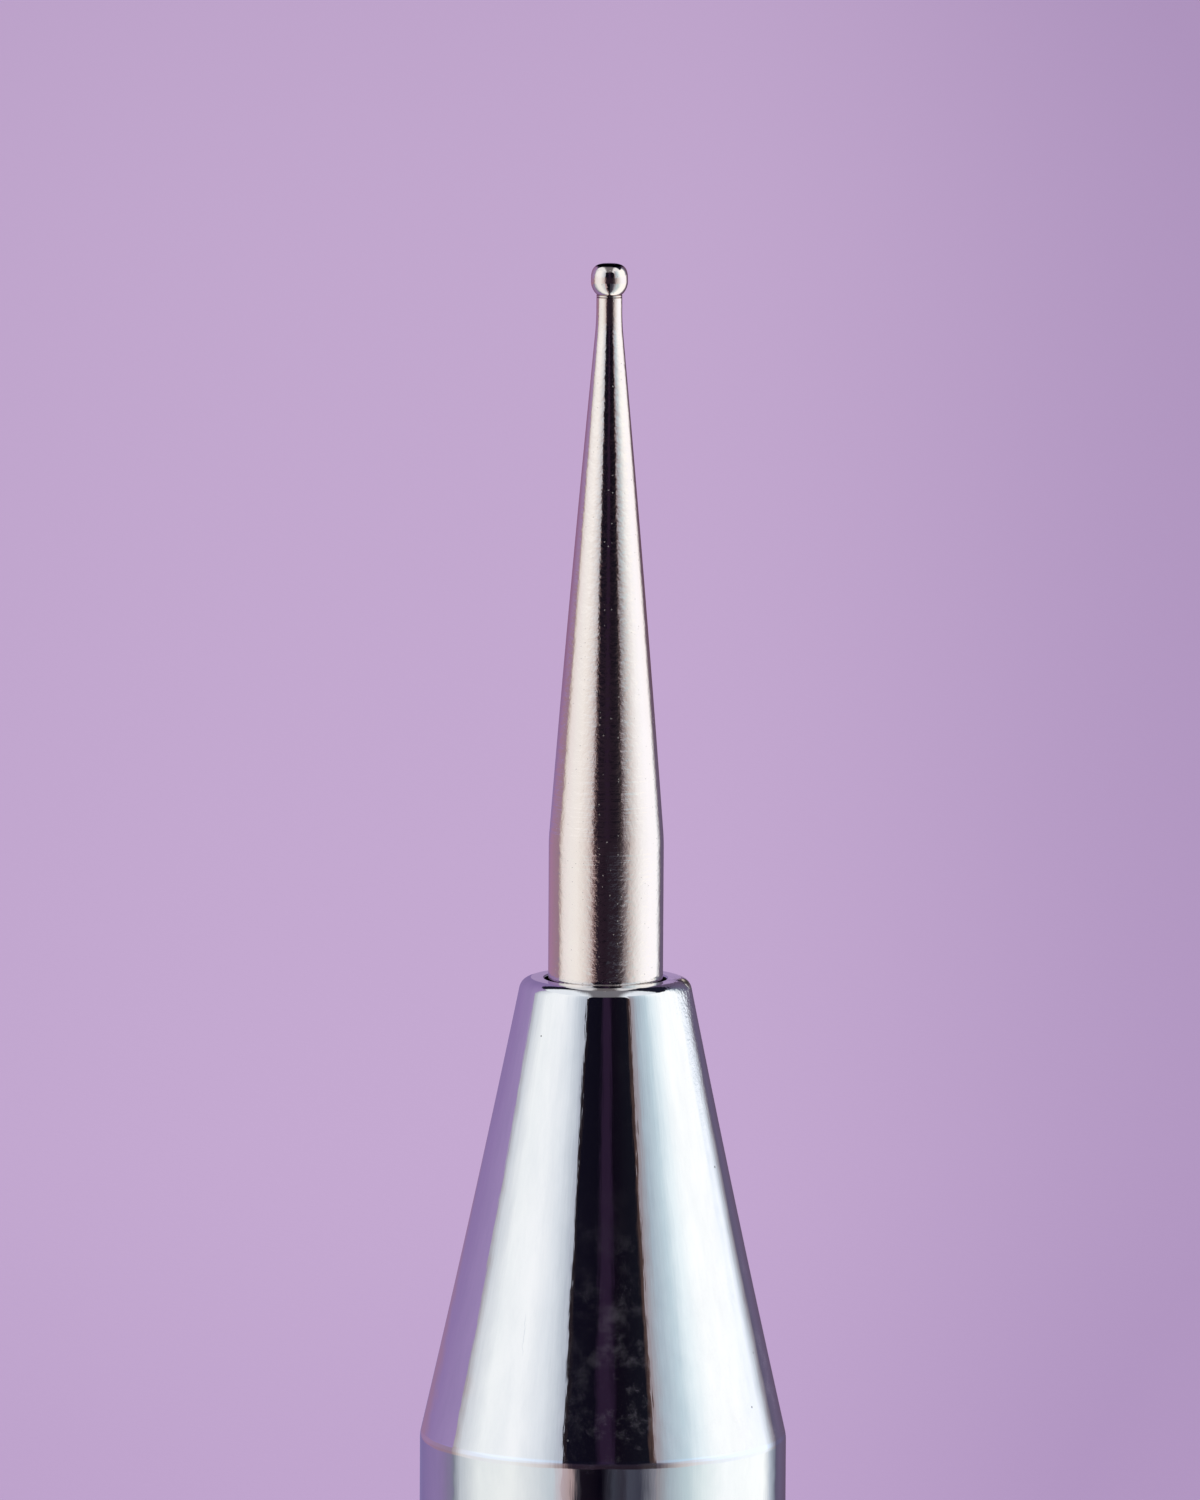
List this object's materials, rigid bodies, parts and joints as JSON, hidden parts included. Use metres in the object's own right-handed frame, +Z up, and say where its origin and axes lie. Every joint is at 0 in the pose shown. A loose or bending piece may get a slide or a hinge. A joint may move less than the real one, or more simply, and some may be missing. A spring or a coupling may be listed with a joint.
{
  "type": "nail dotting tool",
  "caption": "Slim turned handle standing on a flat end cap, with a screw-in conical nose that grips a tapered stylus ending in a small ball.",
  "frame": {"origin": "centre of the flat foot of the end cap", "axes": "+Z runs up the tool from the foot to the ball; the tool is round about it"},
  "size_m": [0.0096, 0.0096, 0.1377],
  "materials": {
    "nose_chrome": "mirror-bright chrome plate on a drawn shell",
    "cap_chrome": "mirror-bright chrome plate on a turned cup",
    "stylus_nickel": "turned, polished and nickel plated, slightly warm",
    "barrel_satin": "satin anodised, with fine turning lines",
    "trim_ring": "black anodised",
    "insert_brass": "as turned",
    "weight_steel": "as turned",
    "seal_rubber": "moulded"
  },
  "bodies": {
    "handle": {"end_cap": "cap_chrome", "end_weight": "weight_steel", "rear_plug": "insert_brass", "rear_ring": "trim_ring", "barrel": "barrel_satin", "front_socket": "insert_brass", "front_ring": "trim_ring"},
    "seal": {"seal_ring": "seal_rubber"},
    "nose": {"nose_cone": "nose_chrome", "nose_bush": "insert_brass"},
    "stylus": {"ball_stylus": "stylus_nickel"}
  },
  "joints": [
    {"name": "nose_rise", "type": "slide", "parent": "handle", "child": "seal", "axis": [0, 0, 1], "range_m": [0, 0.0045]},
    {"name": "nose_turn", "type": "hinge", "parent": "seal", "child": "nose", "pos_m": [0, 0, 0.1083], "axis": [0, 0, 1], "range_deg": [0, 2160]},
    {"name": "stylus_pull", "type": "slide", "parent": "nose", "child": "stylus", "axis": [0, 0, 1], "range_m": [0, 0.009]}
  ],
  "couplings": [
    {"joint": "nose_turn", "follows": "nose_rise", "rad_per_m": 8377.6}
  ]
}
